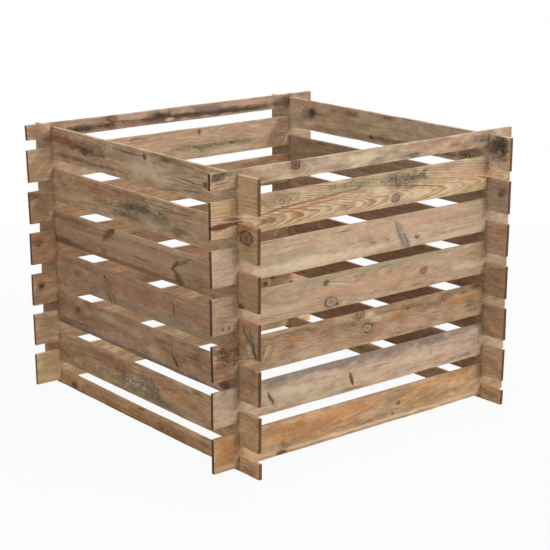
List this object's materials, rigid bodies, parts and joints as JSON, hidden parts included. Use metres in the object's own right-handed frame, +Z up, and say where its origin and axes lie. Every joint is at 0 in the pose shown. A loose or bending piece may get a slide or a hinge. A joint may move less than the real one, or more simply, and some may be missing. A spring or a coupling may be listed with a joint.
{
  "type": "wooden composter",
  "caption": "Square garden composter with open slatted walls: flat timber boards notched near both ends and stacked crosswise like a log crib, open at the top and bottom.",
  "frame": {"origin": "on the ground, under the middle of the square that the boards cover", "axes": "+Z up; X along the front and back boards; Y along the side boards; the front wall faces -Y and the left wall -X"},
  "size_m": [1, 1, 0.748],
  "materials": {
    "pale_pine": "sawn softwood, pale tan, weathered",
    "tan_pine": "sawn softwood, warm tan, weathered",
    "brown_pine": "sawn softwood, brown from its preservative, weathered",
    "grey_pine": "sawn softwood, grey-brown with mould stains"
  },
  "bodies": {
    "ground_boards": {"left_bottom_half_board": "brown_pine", "right_bottom_half_board": "tan_pine"},
    "front_back_1": {"front_board_1": "tan_pine", "back_board_1": "tan_pine"},
    "sides_1": {"left_board_1": "brown_pine", "right_board_1": "tan_pine"},
    "front_back_2": {"front_board_2": "pale_pine", "back_board_2": "brown_pine"},
    "sides_2": {"left_board_2": "grey_pine", "right_board_2": "brown_pine"},
    "front_back_3": {"front_board_3": "brown_pine", "back_board_3": "tan_pine"},
    "sides_3": {"left_board_3": "brown_pine", "right_board_3": "tan_pine"},
    "front_back_4": {"front_board_4": "pale_pine", "back_board_4": "brown_pine"},
    "sides_4": {"left_board_4": "brown_pine", "right_board_4": "brown_pine"},
    "front_back_5": {"front_board_5": "pale_pine", "back_board_5": "grey_pine"},
    "sides_5": {"left_board_5": "tan_pine", "right_board_5": "brown_pine"},
    "front_back_6": {"front_board_6": "tan_pine", "back_board_6": "tan_pine"},
    "sides_6": {"left_board_6": "grey_pine", "right_board_6": "grey_pine"},
    "front_top": {"front_top_half_board": "pale_pine"},
    "back_top": {"back_top_half_board": "brown_pine"}
  },
  "joints": [
    {"name": "lift_front_back_1", "type": "slide", "parent": "ground_boards", "child": "front_back_1", "axis": [0, 0, 1], "range_m": [0, 0.06]},
    {"name": "lift_sides_1", "type": "slide", "parent": "front_back_1", "child": "sides_1", "axis": [0, 0, 1], "range_m": [0, 0.06]},
    {"name": "lift_front_back_2", "type": "slide", "parent": "sides_1", "child": "front_back_2", "axis": [0, 0, 1], "range_m": [0, 0.06]},
    {"name": "lift_sides_2", "type": "slide", "parent": "front_back_2", "child": "sides_2", "axis": [0, 0, 1], "range_m": [0, 0.06]},
    {"name": "lift_front_back_3", "type": "slide", "parent": "sides_2", "child": "front_back_3", "axis": [0, 0, 1], "range_m": [0, 0.06]},
    {"name": "lift_sides_3", "type": "slide", "parent": "front_back_3", "child": "sides_3", "axis": [0, 0, 1], "range_m": [0, 0.06]},
    {"name": "lift_front_back_4", "type": "slide", "parent": "sides_3", "child": "front_back_4", "axis": [0, 0, 1], "range_m": [0, 0.06]},
    {"name": "lift_sides_4", "type": "slide", "parent": "front_back_4", "child": "sides_4", "axis": [0, 0, 1], "range_m": [0, 0.06]},
    {"name": "lift_front_back_5", "type": "slide", "parent": "sides_4", "child": "front_back_5", "axis": [0, 0, 1], "range_m": [0, 0.06]},
    {"name": "lift_sides_5", "type": "slide", "parent": "front_back_5", "child": "sides_5", "axis": [0, 0, 1], "range_m": [0, 0.06]},
    {"name": "lift_front_back_6", "type": "slide", "parent": "sides_5", "child": "front_back_6", "axis": [0, 0, 1], "range_m": [0, 0.06]},
    {"name": "lift_sides_6", "type": "slide", "parent": "front_back_6", "child": "sides_6", "axis": [0, 0, 1], "range_m": [0, 0.06]},
    {"name": "lift_front_top", "type": "slide", "parent": "sides_6", "child": "front_top", "axis": [0, 0, 1], "range_m": [0, 0.06]},
    {"name": "lift_back_top", "type": "slide", "parent": "sides_6", "child": "back_top", "axis": [0, 0, 1], "range_m": [0, 0.06]}
  ]
}
